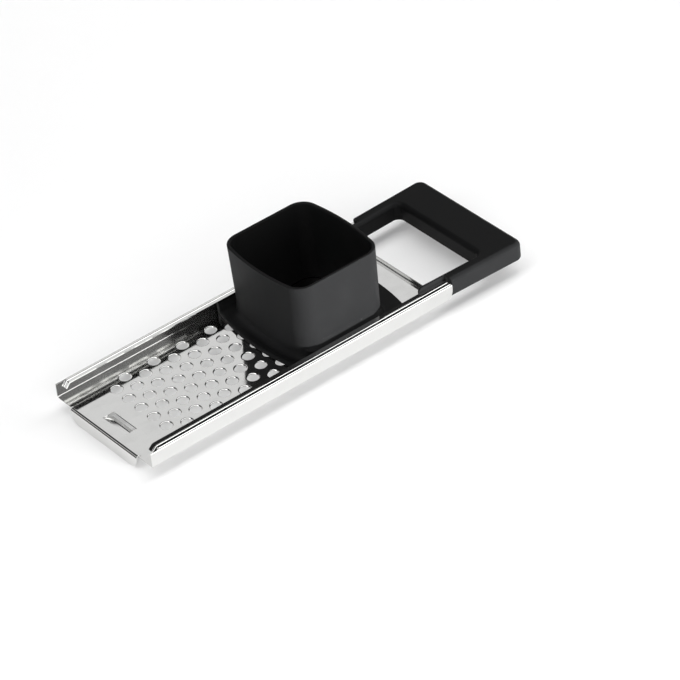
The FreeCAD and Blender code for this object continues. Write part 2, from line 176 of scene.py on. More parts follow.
class HoleSizes(bpy.types.PropertyGroup):
    """Sizes of the perforations and their rolled rims."""

    diameter: size("Hole Diameter", "Clear width", 0.0088)
    pitch: size("Hole Pitch", "Between neighbouring holes", 0.015)
    rows: count("Rows", "Rows of holes along the tray", 10)
    per_row: count("Holes per Row", "Holes across the tray", 6)
    first_row: size("First Row", "Front edge to the first row", 0.0357)
    rim_round: size("Rim Round", "Radius of the rolled rim", 0.0009)
    rim_reach: size("Rim Reach", "Hole's edge to the flat sheet", 0.0012)


class PlasticSizes(bpy.types.PropertyGroup):
    """Broken edges of the moulded pieces."""

    hopper_edge: size("Hopper Edge Round", "Hopper's and sled's edges", 0.0006)
    sled_edge: size("Sled Edge Round", "Sled's upper front edge", 0.0016)
    handle_edge: size("Handle Edge Round", "Handle's trimmed edges", 0.0003)


class ScrewSizes(bpy.types.PropertyGroup):
    """Sizes of the countersunk screws that hold the handle."""

    head: size("Head Diameter", "Across the head", SCREW_HIGH.x - SCREW_LOW.x)
    shank: size("Shank Diameter", "Of the threaded shank", 0.003)
    length: size("Screw Length", "Head face to tip", SCREW_HIGH.z - SCREW_LOW.z)
    recess_length: size("Recess Length", "Across the cross recess", 0.0032)
    recess_width: size("Recess Width", "Width of its slots", 0.0008)
    recess_depth: size("Recess Depth", "Depth of the recess", 0.0009)
    hole: size("Screw Hole", "Hole in the sheet", 0.0035)


class Finishes(bpy.types.PropertyGroup):
    """Colours and gloss of the steel and the plastics."""

    steel: tint("Steel", "Polished stainless sheet", 0.77, 0.77, 0.76)
    steel_roughness: share("Steel Roughness", "Haze of the sheet", 0.075)
    hopper: tint("Hopper Plastic", "Charcoal moulding", 0.0070, 0.0071, 0.0073)
    hopper_roughness: share("Hopper Roughness", "Sheen of the hopper", 0.46)
    handle: tint("Handle Plastic", "Black moulding", 0.0062, 0.0063, 0.0065)
    handle_roughness: share("Handle Roughness", "Sheen of the handle", 0.42)
    plastic_gloss: share("Plastic Gloss", "Strength of reflections", 0.06)
    screw: tint("Screw Steel", "Zinc-bright screws", 0.62, 0.62, 0.61)


class StageSettings(bpy.types.PropertyGroup):
    """Floor, camera and light."""

    floor: tint("Floor", "Pale table top", 0.9, 0.9, 0.9)
    back_light: share("Back Light", "Pale wall behind the tray", 0.80, 5.0)
    top_light: share("Top Light", "Soft box overhead", 2.45, 10.0)
    near_light: share("Near Light", "Dim room on the near side", 0.2, 5.0)
    low_light: share("Low Light", "Soft box low on the near side", 2.2, 10.0)
    side_power: power("Side Power", "Low lamp for the near sides", 188.0)
    front_power: power("Front Power", "Low lamp for the hopper's front", 22.0)
    lens: number("Lens", "Focal length", 203.57, unit="CAMERA")
    camera_place: triple("Camera Place", "Where the camera stands",
                         (-1.22917, -1.87002, 1.66154), unit="LENGTH",
                         subtype="TRANSLATION")
    camera_aim: triple("Camera Aim", "Which way the camera looks",
                       (0.45981, 0.65806, -0.59626), subtype="DIRECTION")
    camera_roll: angle("Camera Roll", "Tilt about its aim", -6.678)


class DumplingMaker(bpy.types.PropertyGroup):
    """Everything that can be set."""

    tray: group(TraySizes)
    holes: group(HoleSizes)
    plastic: group(PlasticSizes)
    screws: group(ScrewSizes)
    finishes: group(Finishes)
    stage: group(StageSettings)


# -------- node trees
def arithmetic(operation):
    """A method that adds a Math node of this kind."""

    def apply(self, other=0.0):
        return self.recipe.add("ShaderNodeMath", {"operation": operation},
                               {0: self, 1: other})

    return apply


class Value:
    """A node's output that takes part in arithmetic."""

    def __init__(self, recipe, socket):
        self.recipe = recipe
        self.socket = socket

    __add__ = arithmetic("ADD")
    __sub__ = arithmetic("SUBTRACT")
    __mul__ = arithmetic("MULTIPLY")
    __truediv__ = arithmetic("DIVIDE")
    __mod__ = arithmetic("MODULO")
    floor = arithmetic("FLOOR")
    arctan2 = arithmetic("ARCTAN2")


class Recipe:
    """A node tree that is being filled in."""

    def __init__(self, tree):
        self.tree = tree
        tree.nodes.clear()

    def add(self, kind, settings=None, inputs=None, output=0):
        """Adds a node with its settings, then its inputs' values or links.

        Returns the output asked for, or a list of them for a tuple of names.
        """
        node = self.tree.nodes.new(kind)
        for name, value in (settings or {}).items():
            setattr(node, name, value)
        for name, value in (inputs or {}).items():
            for item in value if isinstance(value, list) else [value]:
                if isinstance(item, Value):
                    self.tree.links.new(item.socket, node.inputs[name])
                else:
                    node.inputs[name].default_value = item
        if isinstance(output, tuple):
            return [Value(self, node.outputs[name]) for name in output]
        return Value(self, node.outputs[output]) if len(node.outputs) else None

    def ramp(self, mask, low, high):
        """Runs from black to white as the mask runs from low to high."""
        shade = self.add("ShaderNodeValToRGB", inputs={"Fac": mask})
        stops = shade.socket.node.color_ramp.elements
        stops[0].position = low
        stops[1].position = high
        return shade

    def noise(self, scale, stretch=(1.0, 1.0, 1.0), detail=2.0, roughness=0.5):
        """Cloudy pattern from 0 to 1 on the piece; scale is in cycles per metre."""
        where = self.add("ShaderNodeTexCoord", output="Object")
        point = self.add("ShaderNodeMapping", inputs={"Vector": where, "Scale": stretch})
        return self.add("ShaderNodeTexNoise", inputs={
            "Vector": point, "Scale": scale, "Detail": detail, "Roughness": roughness})

    def between(self, mask, low, high):
        """A number that runs from low to high as the mask runs from 0 to 1."""
        return mask * (high - low) + low

    def shade(self, mask, dark, light):
        """A colour that runs from dark to light as the mask runs from 0 to 1."""
        return self.add("ShaderNodeMix", {"data_type": "RGBA"},
                        {"Factor": mask, 6: (*dark, 1.0), 7: (*light, 1.0)}, output=2)

    def bump(self, height, distance, strength, **under):
        inputs = {"Height": height, "Distance": distance, "Strength": strength, **under}
        return self.add("ShaderNodeBump", inputs=inputs)


def scaled(colour, factor):
    return tuple(min(channel * factor, 1.0) for channel in colour)


class Surface(Recipe):
    """The nodes of a new material."""

    def __init__(self, name):
        self.material = bpy.data.materials.new(name)
        self.material.use_nodes = True
        super().__init__(self.material.node_tree)

    def principled(self, colour, roughness, more):
        inputs = {"Base Color": colour, "Roughness": roughness, **more}
        return self.add("ShaderNodeBsdfPrincipled", inputs=inputs)

    def finish(self, shader):
        self.add("ShaderNodeOutputMaterial", inputs={"Surface": shader})
        return self.material


def polished_steel(colour, haze):
    """Bright rolled sheet: faint roller waves, hair-fine polishing lines and soft smudges."""
    recipe = Surface("Polished Steel")
    waves = recipe.noise(38.0, (0.35, 1.0, 1.0), 1.0)
    hairs = recipe.noise(1.0, (60.0, 5200.0, 5200.0), 3.0, 0.6)
    smudges = recipe.noise(45.0, (1.0, 1.4, 1.0), 4.0, 0.6)
    stain = recipe.ramp(smudges, 0.45, 0.75)
    base = recipe.shade(stain * 0.5 + hairs * 0.5, colour, scaled(colour, 0.93))
    roughness = stain * 0.05 + recipe.between(hairs, haze * 0.7, haze * 1.3)
    relief = recipe.bump(waves, 0.00003, 0.35)
    fine = recipe.bump(hairs, 0.0000006, 0.35, Normal=relief)
    metal = recipe.principled(base, roughness, {"Metallic": 1.0, "Normal": fine})
    return recipe.finish(metal)


def satin_plastic(name, colour, sheen, gloss):
    """Moulded plastic with a fine spark-eroded grain, a little paler where it is rubbed."""
    recipe = Surface(name)
    grain = recipe.noise(2600.0, detail=2.0)
    clouds = recipe.noise(32.0, detail=4.0, roughness=0.65)
    rubbed = recipe.ramp(clouds, 0.5, 0.8)
    specks = recipe.noise(700.0, detail=1.0)
    base = recipe.shade(rubbed * 0.6 + specks * 0.4, scaled(colour, 0.88),
                        scaled(colour, 1.18))
    roughness = recipe.between(clouds, sheen - 0.05, sheen + 0.05) + grain * 0.03
    relief = recipe.bump(grain, 0.00002, 0.45)
    look = {"Specular IOR Level": gloss, "Normal": relief}
    return recipe.finish(recipe.principled(base, roughness, look))


def bright_screw_steel(colour):
    """Plated screw steel, a little dull."""
    recipe = Surface("Screw Steel")
    patches = recipe.noise(900.0, detail=3.0)
    base = recipe.shade(patches, scaled(colour, 0.85), scaled(colour, 1.08))
    relief = recipe.bump(recipe.noise(2400.0), 0.00001, 0.4)
    metal = recipe.principled(base, recipe.between(patches, 0.22, 0.36),
                              {"Metallic": 1.0, "Normal": relief})
    return recipe.finish(metal)


def pale_floor(colour):
    """Matt table top with a barely visible mottle, a little lifted so that it reads white."""
    recipe = Surface("Pale Floor")
    mottle = recipe.noise(60.0, detail=3.0)
    base = recipe.shade(mottle, scaled(colour, 0.99), colour)
    matt = recipe.principled(base, 0.9, {"Specular IOR Level": 0.1})
    rays = ("Is Camera Ray", "Is Glossy Ray", "Is Transmission Ray")
    direct, mirrored, through = recipe.add("ShaderNodeLightPath", output=rays)
    seen = direct + mirrored + through
    lift = recipe.add("ShaderNodeEmission", inputs={"Color": WHITE, "Strength": 1.0})
    mixed = recipe.add("ShaderNodeMixShader", inputs={0: seen * 0.06, 1: matt, 2: lift})
    return recipe.finish(mixed)


# -------- pieces
def linked(name, data):
    """A new object in the scene, with mesh, lamp or camera data."""
    thing = bpy.data.objects.new(name, data)
    bpy.context.scene.collection.objects.link(thing)
    return thing


def new_piece(name, bm):
    """Turns a bmesh into an object of the scene."""
    mesh = bpy.data.meshes.new(name)
    bm.to_mesh(mesh)
    bm.free()
    return linked(name, mesh)


def smooth(mesh, degrees):
    """Smooth shading that keeps edges sharper than the angle crisp."""
    mesh.polygons.foreach_set("use_smooth", [True] * len(mesh.polygons))
    mesh.set_sharp_from_angle(angle=math.radians(degrees))


def settle(piece, material, body, slot, *nodes):
    """Gives a finished piece its material, its body and the CAD it stands for. The slot is
    not used.
    """
    piece.data.materials.clear()
    piece.data.materials.append(material)
    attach(piece, body)
    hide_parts(*nodes)


def bake_modifiers(piece):
    """Puts the result of a piece's modifiers into its mesh and takes the modifiers off."""
    shown = piece.evaluated_get(bpy.context.evaluated_depsgraph_get())
    result = bpy.data.meshes.new_from_object(shown)
    piece.modifiers.clear()
    old = piece.data
    piece.data = result
    bpy.data.meshes.remove(old)


def welded_copy(node):
    """A joined-up copy of a CAD node's mesh, with the triangles of each flat face merged."""
    bm = bmesh.new()
    bm.from_mesh(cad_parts[node].data)
    bmesh.ops.remove_doubles(bm, verts=bm.verts, dist=WELD)
    bmesh.ops.dissolve_limit(bm, angle_limit=math.radians(FLAT), verts=bm.verts,
                             edges=bm.edges)
    return bm


def break_edges(bm, edges, radius, steps):
    bmesh.ops.bevel(bm, geom=edges, offset=radius, offset_type="OFFSET", segments=steps,
                    profile=0.5, affect="EDGES", clamp_overlap=False)


def sharp_edges(bm):
    """Edges that stand out and turn sharply."""
    limit = math.radians(SHARP)
    return [edge for edge in bm.edges
            if edge.is_convex and edge.calc_face_angle(0.0) > limit]


def goes_round(loop, spot):
    """Whether a closed loop of pairs goes round a point."""
    within = False
    for (x0, y0), (x1, y1) in zip(loop, loop[1:] + loop[:1]):
        crosses = (y0 > spot.y) != (y1 > spot.y)
        if crosses and spot.x < x0 + (x1 - x0) * (spot.y - y0) / (y1 - y0):
            within = not within
    return within


def cut_faces(outline, holes, creases):
    """Flat faces inside an outline and outside the holes, divided along the creases.

    Outline and holes are loops of pairs, and a crease is two pairs. Returns faces as lists
    of points that turn left.
    """
    points = []
    rings = []
    for loop in [outline] + holes:
        rings.append(list(range(len(points), len(points) + len(loop))))
        points += loop
    edges = []
    for start, end in creases:
        edges.append((len(points), len(points) + 1))
        points += [start, end]
    whole_faces = 4
    nearness = 1e-6
    made = delaunay_2d_cdt([Vector(point) for point in points], edges, rings, whole_faces,
                           nearness)
    faces = []
    for face in made[2]:
        corners = [made[0][index] for index in face]
        first = tessellate_polygon([[corner.to_3d() for corner in corners]])[0]
        spot = sum((corners[index] for index in first), Vector((0.0, 0.0))) / 3
        if not goes_round(outline, spot) or any(goes_round(hole, spot) for hole in holes):
            continue
        turn = sum(a.cross(b) for a, b in zip(corners, corners[1:] + corners[:1]))
        faces.append(corners if turn > 0 else corners[::-1])
    return faces


def circle(x, y, radius, steps):
    turns = [2 * math.pi * step / steps for step in range(steps)]
    return [(x + radius * math.cos(turn), y + radius * math.sin(turn)) for turn in turns]


def spin_profile(bm, profile, x, y, steps):
    """Skin between points (radius, z) turned about an upright axis.

    A profile that runs inwards along the top and back outwards below gives outward faces.
    """
    rings = [[bm.verts.new((*point, z)) for point in circle(x, y, radius, steps)]
             for radius, z in profile]
    for outer, inner in zip(rings, rings[1:]):
        for step in range(steps):
            after = (step + 1) % steps
            bm.faces.new((outer[step], outer[after], inner[after], inner[step]))


class BuildStep:
    """What the operators share."""

    def execute(self, context):
        self.build(context.scene.dumpling_maker)
        return {"FINISHED"}


# -------- tray
def bend_steps(radius, turn):
    """Developed lengths at the edges of a bend's strips and just before and after it."""
    run = radius * turn
    steps = [run * step / BEND_STEPS for step in range(BEND_STEPS + 1)]
    return [-BEND_MARGIN] + steps + [run + BEND_MARGIN]


def rounded(radius, steps):
    """Distances from an edge at the steps of a quarter circle that rounds its corner."""
    return [radius * (1 - math.cos(SQUARE * step / steps)) for step in range(steps + 1)]


def bent(run, radius, turn):
    """How far ahead and aside a run gets that bends and then goes straight, and its turn."""
    here = min(run / radius, turn)
    straight = max(run - radius * turn, 0.0)
    ahead = radius * math.sin(here) + straight * math.cos(turn)
    aside = radius * (1 - math.cos(here)) + straight * math.sin(turn)
    return ahead, aside, here


class FoldedSheet:
    """The tray's sheet as a flat blank, with points (x, s), and the folds that shape it.

    s runs across the sheet from its centreline, over the top of the floor, up the inner
    side of the wall and along the underside of the ledge.
    """

    def __init__(self, tray, holes, screws):
        self.tray = tray
        self.holes = holes
        self.screws = screws
        gauge = tray.thickness
        self.front_x = TRAY_LOW.x + tray.flange_reach
        self.rail_rear_x = TRAY_HIGH.x
        self.wall_y = tray.width / 2 - gauge
        self.floor_radius = tray.floor_bend - gauge
        self.ledge_radius = tray.ledge_bend - gauge
        self.ledge_turn = SQUARE - tray.ledge_slope
        edge_y = tray.width / 2 - tray.ledge_width
        edge_z = tray.rail_height - gauge / math.cos(tray.ledge_slope)
        corner_z = edge_z - (self.wall_y - edge_y) * math.tan(tray.ledge_slope)
        self.bend_z = corner_z - self.ledge_radius * math.tan(self.ledge_turn / 2)
        self.floor_s = self.wall_y - self.floor_radius
        self.wall_s = self.floor_s + self.floor_radius * SQUARE
        self.bend_s = self.wall_s + self.bend_z - gauge - self.floor_radius
        self.ledge_s = self.bend_s + self.ledge_radius * self.ledge_turn
        start_y = self.wall_y - self.ledge_radius * (1 - math.cos(self.ledge_turn))
        self.edge_s = self.ledge_s + (start_y - edge_y) / math.cos(tray.ledge_slope)
        self.flange_half = tray.flange_width / 2
        self.flange_start = TRAY_LOW.x + tray.flange_bend
        self.flange_run = tray.flange_bend * (SQUARE - 1) + gauge - TRAY_LOW.z
        self.lip_radius = tray.lip_bend - gauge
        self.lip_start = self.rail_rear_x - tray.rail_overhang - tray.lip_bend
        self.lip_run = self.lip_radius * (SQUARE - 1) + tray.lip_height
        self.stop_front_x = self.front_x + tray.setback
        self.crease_x = self.stop_front_x + tray.stop_length
        self.stop_radius = 0.0008
        self.tab_front_x = self.front_x + tray.tab_crease
        self.tab_rear_x = self.front_x + tray.tab_end
        self.tongue_end = self.tab_rear_x - tray.tab_cut
        self.tab_half = tray.tab_width / 2
        self.tab_radius = 0.001
        self.tab_turn = math.atan2(tray.tab_drop, tray.tab_end - tray.tab_crease)
        self.flange_lines = [self.flange_start - run
                             for run in bend_steps(tray.flange_bend, SQUARE)]
        self.lip_lines = [self.lip_start + run for run in bend_steps(self.lip_radius, SQUARE)]
        self.tab_lines = [self.tab_front_x + run
                          for run in bend_steps(self.tab_radius, self.tab_turn)]
        self.tab_lines[0] = self.tab_front_x
        self.dimple_radius = screws.head / 2 + gauge * math.tan(math.pi / 8)
        self.points = {}
        self.faces = []
        self.rim_points = set()

    # where a point of the blank ends up
    def across(self, s):
        """(y, z) of the inner skin, then the way (y, z) to the outer skin."""
        gauge = self.tray.thickness
        if s <= self.floor_s:
            return s, gauge, 0.0, -1.0
        if s <= self.wall_s:
            ahead, aside, turn = bent(s - self.floor_s, self.floor_radius, SQUARE)
            return self.floor_s + ahead, gauge + aside, math.sin(turn), -math.cos(turn)
        if s <= self.bend_s:
            return self.wall_y, gauge + self.floor_radius + s - self.wall_s, 1.0, 0.0
        ahead, aside, turn = bent(s - self.bend_s, self.ledge_radius, self.ledge_turn)
        lift = self.bead(self.edge_s - s)
        return (self.wall_y - aside + lift * math.cos(turn),
                self.bend_z + ahead + lift * math.sin(turn),
                math.cos(turn), math.sin(turn))

    def bead(self, from_edge):
        half = self.tray.bead_width / 2
        rise = self.tray.bead_height
        offset = from_edge - self.tray.bead_offset
        if abs(offset) >= half:
            return 0.0
        radius = (half * half + rise * rise) / (2 * rise)
        return math.sqrt(radius * radius - offset * offset) - (radius - rise)

    def fold(self, x, s):
        """Inner skin's point and the way to the outer skin for a point of the blank."""
        side = -1.0 if s < 0 else 1.0
        y, z, thick_y, thick_z = self.across(abs(s))
        place = Vector((x, side * y, z))
        thick = Vector((0.0, side * thick_y, thick_z))
        if x < self.flange_start and abs(s) < self.flange_half + WELD:
            bend = (self.flange_start, -1.0, self.tray.flange_bend, SQUARE)
        elif x > self.lip_start and abs(s) < self.tray.lip_half + WELD:
            bend = (self.lip_start, 1.0, -self.lip_radius, SQUARE)
        elif self.tab_front_x < x < self.tongue_end + WELD and abs(s) < self.tab_half + WELD:
            bend = (self.tab_front_x, 1.0, self.tab_radius, self.tab_turn)
        elif x < self.crease_x and abs(s) > self.ledge_s + BEND_MARGIN / 2:
            bend = (self.crease_x, -1.0, -self.stop_radius, self.tray.stop_angle)
        else:
            return place, thick
        return self.turned_edge(place, thick, x, *bend)

    def turned_edge(self, place, thick, x, start_x, way, radius, turn):
        """Bends what lies past start_x towards the outer skin, or away if radius < 0."""
        ahead, aside, here = bent(abs(x - start_x), abs(radius), turn)
        towards = thick if radius > 0 else -thick
        moved = Vector((start_x + way * ahead, place.y, place.z)) + towards * aside
        leaned = thick * math.cos(here)
        leaned.x -= way * math.sin(here) * (1.0 if radius > 0 else -1.0)
        return moved, leaned

    # the blank
    def point(self, x, s):
        """The blank's own point at this place, so that neighbouring faces share it."""
        column = round(x * GRID)
        row = round(s * GRID)
        for near in ((column + i, row + j) for i in (0, -1, 1) for j in (0, -1, 1)):
            if near in self.points:
                return self.points[near]
        self.points[(column, row)] = (x, s)
        return x, s

    def add_face(self, corners):
        self.faces.append([self.point(x, s) for x, s in corners])

    def rear_end(self, s):
        """Where the sheet ends at the rear, by the rounding of the walls and ledges."""
        for radius, inside in ((self.tray.rail_end_radius, self.across(s)[1]),
                               (self.tray.ledge_corner, self.edge_s - s)):
            if inside < radius:
                past = math.sqrt(radius ** 2 - (radius - inside) ** 2)
                return self.rail_rear_x - radius + past
        return self.rail_rear_x

    def rail_lines(self):
        """Developed widths at which the wall and ledge are divided into strips."""
        lines = [self.floor_s + run for run in bend_steps(self.floor_radius, SQUARE)]
        above_bend = 3
        lines += [self.wall_s + height - self.tray.thickness - self.floor_radius
                  for height in rounded(self.tray.rail_end_radius, REAR_STEPS)[above_bend:]]
        lines += [self.bend_s + run for run in bend_steps(self.ledge_radius, self.ledge_turn)]
        half = self.tray.bead_width / 2
        middle = self.edge_s - self.tray.bead_offset
        lines += [middle + half * step / BEAD_STEPS
                  for step in range(-BEAD_STEPS, BEAD_STEPS + 1)]
        lines += [middle - half - BEND_MARGIN, middle + half + BEND_MARGIN]
        lines += [self.edge_s - inside
                  for inside in rounded(self.tray.ledge_corner, LEDGE_STEPS)]
        lines.sort()
        return [line for index, line in enumerate(lines)
                if index == 0 or line - lines[index - 1] > WELD]

    def rail_strips(self):
        """Strips of the near or far rail, each with the cross lines that divide it."""
        lines = self.rail_lines()
        middle_of_bend = (self.bend_s + self.ledge_s) / 2
        stop_lines = [self.stop_front_x]
        stop_lines += [self.crease_x - run for run
                       in reversed(bend_steps(self.stop_radius, self.tray.stop_angle))]
        for low, high in zip(lines, lines[1:]):
            middle = (low + high) / 2
            if middle < middle_of_bend:
                breaks = [self.front_x]
            elif middle < self.ledge_s + BEND_MARGIN:
                breaks = [self.crease_x]
            else:
                breaks = stop_lines
            yield low, high, breaks

    def fold_rails(self):
        strips = list(self.rail_strips())
        marks = {}
        for low, high, breaks in strips:
            for line in (low, high):
                marks.setdefault(line, set()).update(breaks)
                marks[line].add(self.rear_end(line))
        for low, high, breaks in strips:
            for start, end in zip(breaks, breaks[1:] + [None]):
                rows = []
                for line in (low, high):
                    last = self.rear_end(line) if end is None else end
                    rows.append(sorted(x for x in marks[line] if start <= x <= last))
                corners = [(x, low) for x in rows[0]]
                corners += [(x, high) for x in reversed(rows[1])]
                self.add_face(corners)
                self.add_face([(x, -s) for x, s in reversed(corners)])

    def hole_centres(self):
        pitch = self.holes.pitch
        for row in range(self.holes.rows):
            x = self.front_x + self.holes.first_row + row * pitch * ROW_PITCH
            shift = pitch / 4 if row % 2 else -pitch / 4
            for place in range(self.holes.per_row):
                yield x, (place - (self.holes.per_row - 1) / 2) * pitch + shift

    def flange_side(self):
        """Outline down one side of the flange, from the notch to its end."""
        corner = self.tray.flange_corner
        end_x = self.flange_start - self.flange_run
        side = [(x, self.flange_half) for x in self.flange_lines]
        for step in range(FLANGE_STEPS + 1):
            turn = SQUARE * step / FLANGE_STEPS
            side.append((end_x + corner * (1 - math.sin(turn)),
                         self.flange_half - corner * (1 - math.cos(turn))))
        return side

    def floor_outline(self):
        """Half of the floor's outline with the flange and the lip, front to rear."""
        tray = self.tray
        edge = self.floor_s - BEND_MARGIN
        notch = self.flange_start + tray.relief
        relieved = self.flange_half + tray.relief
        front = self.flange_side()[::-1]
        front += [(notch, self.flange_half), (notch, relieved),
                  (self.front_x, relieved), (self.front_x, edge)]
        notch = self.lip_start - tray.relief
        relieved = tray.lip_half + tray.relief
        rear_x = self.rear_end(edge)
        rear = [(rear_x, edge), (rear_x, relieved), (notch, relieved), (notch, tray.lip_half)]
        rear += [(x, tray.lip_half) for x in self.lip_lines]
        rear.append((self.lip_start + self.lip_run, tray.lip_half))
        return front + rear

    def tab_loop(self):
        """Cut round the tongue, with points on its sides where it bends."""
        front = self.tab_front_x
        rear = self.tab_rear_x
        wide = self.tab_half + self.tray.tab_cut
        side = [(x, self.tab_half) for x in self.tab_lines + [self.tongue_end]]
        tongue = side + [(x, -s) for x, s in reversed(side)]
        return tongue + [(front, -wide), (rear, -wide), (rear, wide), (front, wide)]

    def cut_floor(self):
        half = self.floor_outline()
        outline = [(x, -s) for x, s in half] + half[::-1]
        rim = self.holes.diameter / 2 + self.holes.rim_reach
        rims = [circle(x, y, rim, RIM_STEPS) for x, y in self.hole_centres()]
        rims += [circle(SCREW_X, side * SCREW_Y, self.dimple_radius, SCREW_STEPS)
                 for side in (-1, 1)]
        creases = [((x, -reach), (x, reach))
                   for lines, reach in ((self.flange_lines, self.flange_half),
                                        (self.lip_lines, self.tray.lip_half),
                                        (self.tab_lines, self.tab_half))
                   for x in lines]
        for face in cut_faces(outline, [self.tab_loop()] + rims, creases):
            self.add_face([(corner.x, corner.y) for corner in face])
        self.rim_points = {self.point(x, y) for loop in rims for x, y in loop}

    def shell(self):
        """The sheet with its thickness. The round holes stay open for their rims."""
        self.cut_floor()
        self.fold_rails()
        bm = bmesh.new()
        inner = {}
        outer = {}
        for blank in self.points.values():
            place, thick = self.fold(*blank)
            inner[blank] = bm.verts.new(place)
            outer[blank] = bm.verts.new(place + thick * self.tray.thickness)
        open_edges = {}
        for face in self.faces:
            for start, end in zip(face, face[1:] + face[:1]):
                if open_edges.pop((end, start), None) is None:
                    open_edges[(start, end)] = True
        for face in self.faces:
            bm.faces.new([inner[blank] for blank in face])
            bm.faces.new([outer[blank] for blank in reversed(face)])
        cut = []
        for start, end in open_edges:
            if start in self.rim_points and end in self.rim_points:
                continue
            bm.faces.new((inner[end], inner[start], outer[start], outer[end]))
            cut += [bm.edges.get((skin[start], skin[end])) for skin in (inner, outer)]
        break_edges(bm, cut, self.tray.edge_round, 2)
        return bm


def rolled_rim(holes, gauge):
    """Section (radius, z) of a hole's rim, over the rolled top and down to the underside."""
    hole = holes.diameter / 2
    roll = holes.rim_round
    reach = math.pi / 3
    flat = hole + roll * math.sin(reach)
    flare = 0.00002
    burr = 0.0001
    section = [(hole + holes.rim_reach, gauge)]
    for step in range(ROLL_STEPS + 1):
        turn = reach * step / ROLL_STEPS
        section.append((flat - roll * math.sin(turn), gauge - roll * (1 - math.cos(turn))))
    return section + [(hole + flare, burr), (hole + burr, 0.0), (hole + holes.rim_reach, 0.0)]


def dimple_section(sheet):
    """Section of the cone pressed round a screw, from the floor's top to its underside."""
    gauge = sheet.tray.thickness
    hole = sheet.screws.hole / 2
    head = sheet.screws.head / 2
    top = head - hole + gauge * math.sqrt(2)
    return [(sheet.dimple_radius, gauge), (hole, top), (hole, head - hole), (head, 0.0),
            (sheet.dimple_radius, 0.0)]


def repeat_tree(name, sockets):
    """An empty Geometry Nodes tree with inputs of these names and types, and the inputs."""
    tree = bpy.data.node_groups.new(name, "GeometryNodeTree")
    recipe = Recipe(tree)
    tree.interface.new_socket("Geometry", in_out="OUTPUT", socket_type="NodeSocketGeometry")
    for label, kind in sockets.items():
        tree.interface.new_socket(label, in_out="INPUT", socket_type="NodeSocket" + kind)
    given = tree.nodes.new("NodeGroupInput").outputs
    return [recipe] + [Value(recipe, given[label]) for label in sockets]


def copies(recipe, pattern, count, x, y):
    """Real copies of a pattern object at count points that x and y place."""
    spot = recipe.add("ShaderNodeCombineXYZ", inputs={"X": x, "Y": y})
    spots = recipe.add("GeometryNodePoints", inputs={"Count": count, "Position": spot})
    shape = recipe.add("GeometryNodeObjectInfo", inputs={"Object": pattern},
                       output="Geometry")
    set_out = recipe.add("GeometryNodeInstanceOnPoints",
                         inputs={"Points": spots, "Instance": shape})
    return recipe.add("GeometryNodeRealizeInstances", inputs={"Geometry": set_out})


def painted(recipe, shape, material):
    """Ends a tree with its shape in one material."""
    shown = recipe.add("GeometryNodeSetMaterial",
                       inputs={"Geometry": shape, "Material": material})
    recipe.add("NodeGroupOutput", inputs={"Geometry": shown})
    return recipe.tree


def perforation_tree():
    """Rims set out in staggered rows and welded into the floor's round openings."""
    recipe, sheet, rim, front, pitch, rows, per_row, nearness, material = repeat_tree(
        "Perforations", {
            "Sheet": "Geometry", "Rim": "Object", "Front": "Float", "Pitch": "Float",
            "Rows": "Int", "Holes per Row": "Int", "Weld": "Float",
            "Material": "Material"})
    index = recipe.add("GeometryNodeInputIndex")
    row = ((index + 0.5) / per_row).floor()
    place = index - row * per_row
    side = (row % 2.0) * 2.0 - 1.0
    x = row * pitch * ROW_PITCH + front
    y = (place - (per_row - 1.0) / 2.0) * pitch + side * pitch / 4.0
    rims = copies(recipe, rim, rows * per_row, x, y)
    joined = recipe.add("GeometryNodeJoinGeometry", inputs={"Geometry": [sheet, rims]})
    welded = recipe.add("GeometryNodeMergeByDistance",
                        inputs={"Geometry": joined, "Distance": nearness})
    return painted(recipe, welded, material)


def screw_pair_tree():
    """One screw set out on both sides of the centreline."""
    recipe, _, screw, along, aside, material = repeat_tree("Screw Pair", {
        "Geometry": "Geometry", "Screw": "Object", "Along": "Float", "Aside": "Float",
        "Material": "Material"})
    side = recipe.add("GeometryNodeInputIndex") * 2.0 - 1.0
    return painted(recipe, copies(recipe, screw, 2, along, side * aside), material)


def repeat(piece, tree, values):
    """Runs a Geometry Nodes tree on a piece with these input values and keeps the result."""
    modifier = piece.modifiers.new(tree.name, "NODES")
    modifier.node_group = tree
    for socket in tree.interface.items_tree:
        if socket.in_out == "INPUT" and socket.name in values:
            modifier[socket.identifier] = values[socket.name]
    piece.update_tag()
    bake_modifiers(piece)


class DUMPLING_OT_tray(BuildStep, bpy.types.Operator):
    """Folds the steel sheet and sets the rolled holes into its floor"""

    bl_idname = "dumpling.tray"
    bl_label = "Steel Tray"

    def build(self, settings):
        steel = polished_steel(settings.finishes.steel, settings.finishes.steel_roughness)
        sheet = FoldedSheet(settings.tray, settings.holes, settings.screws)
        bm = sheet.shell()
        for side in (-1, 1):
            spin_profile(bm, dimple_section(sheet), SCREW_X, side * SCREW_Y, SCREW_STEPS)
        bmesh.ops.remove_doubles(bm, verts=bm.verts, dist=WELD)
        tray = new_piece("steel_tray", bm)
        bm = bmesh.new()
        section = rolled_rim(settings.holes, settings.tray.thickness)
        spin_profile(bm, section, 0.0, 0.0, RIM_STEPS)
        rim = new_piece("hole_rim", bm)
        repeat(tray, perforation_tree(), {
            "Rim": rim, "Front": sheet.front_x + settings.holes.first_row,
            "Pitch": settings.holes.pitch, "Rows": settings.holes.rows,
            "Holes per Row": settings.holes.per_row, "Weld": WELD, "Material": steel})
        bpy.data.objects.remove(rim)
        smooth(tray.data, SHEET_CRISP)
        settle(tray, steel, "frame", "polished_steel", "tray_sheet")


